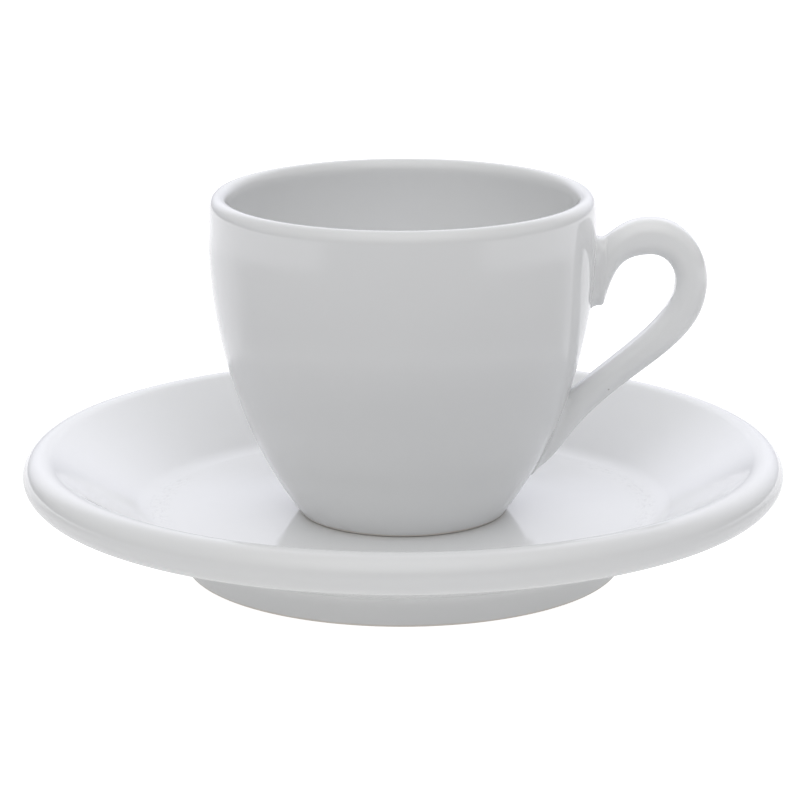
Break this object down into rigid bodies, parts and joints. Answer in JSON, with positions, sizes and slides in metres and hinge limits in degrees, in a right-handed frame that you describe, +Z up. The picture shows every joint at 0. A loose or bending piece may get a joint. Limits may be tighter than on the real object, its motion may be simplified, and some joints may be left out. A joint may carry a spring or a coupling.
{
  "type": "espresso cup with saucer",
  "caption": "White porcelain espresso cup with a looped strap handle, standing in the flat well of a round saucer that has a rolled rim and a foot ring.",
  "frame": {"origin": "centre of the saucer's foot ring, on the table", "axes": "+Z up along the common axis of cup and saucer, +X towards the handle"},
  "size_m": [0.12, 0.12, 0.0596],
  "materials": {
    "saucer_glaze": "gloss white glaze over porcelain, bare on the foot ring",
    "cup_glaze": "gloss white glaze over porcelain, bare on the foot ring",
    "handle_glaze": "gloss white glaze over porcelain"
  },
  "bodies": {
    "saucer": {"saucer": "saucer_glaze"},
    "cup": {"cup_body": "cup_glaze", "cup_handle": "handle_glaze"}
  },
  "joints": [
    {"name": "cup_lift", "type": "slide", "parent": "saucer", "child": "cup", "axis": [0, 0, 1], "range_m": [0, 0.08]}
  ]
}
